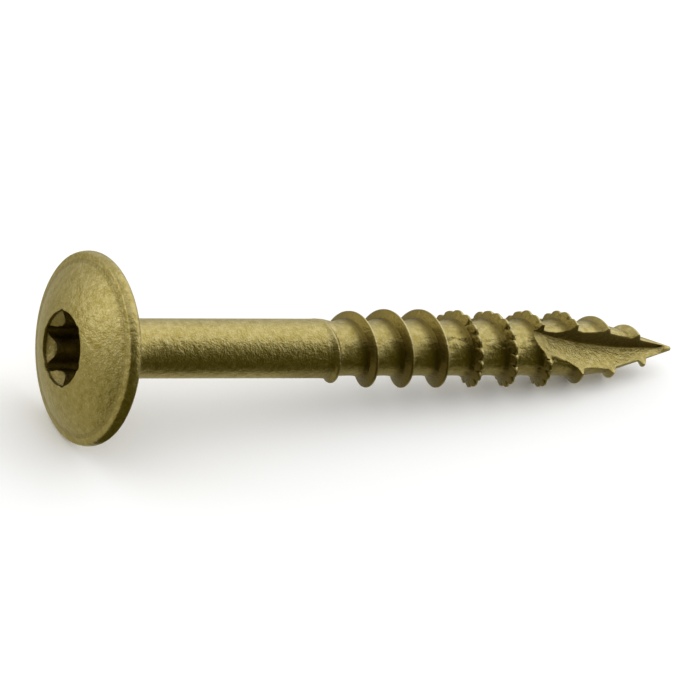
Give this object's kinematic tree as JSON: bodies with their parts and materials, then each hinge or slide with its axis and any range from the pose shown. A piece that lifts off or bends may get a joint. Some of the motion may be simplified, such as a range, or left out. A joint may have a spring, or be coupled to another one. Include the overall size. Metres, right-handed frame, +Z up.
{
  "type": "lag screw",
  "caption": "Washer-head timber screw with a six-lobe recess, plain shank, coarse serrated thread and a fluted gimlet point.",
  "frame": {"origin": "centre of the bounding box's footprint, on the surface that the screw lies on", "axes": "+X along the screw from the head to the tip, which dips 6.15 degrees below level, +Z up from the surface the screw lies on, +Y to the left of the screw seen from the head"},
  "size_m": [0.052, 0.014, 0.0139],
  "materials": {
    "bronze_coated_steel": "satin bronze-coloured ceramic-type coating over hardened carbon steel, slightly grainy"
  },
  "bodies": {
    "root": {"lag_screw": "bronze_coated_steel"}
  },
  "joints": []
}
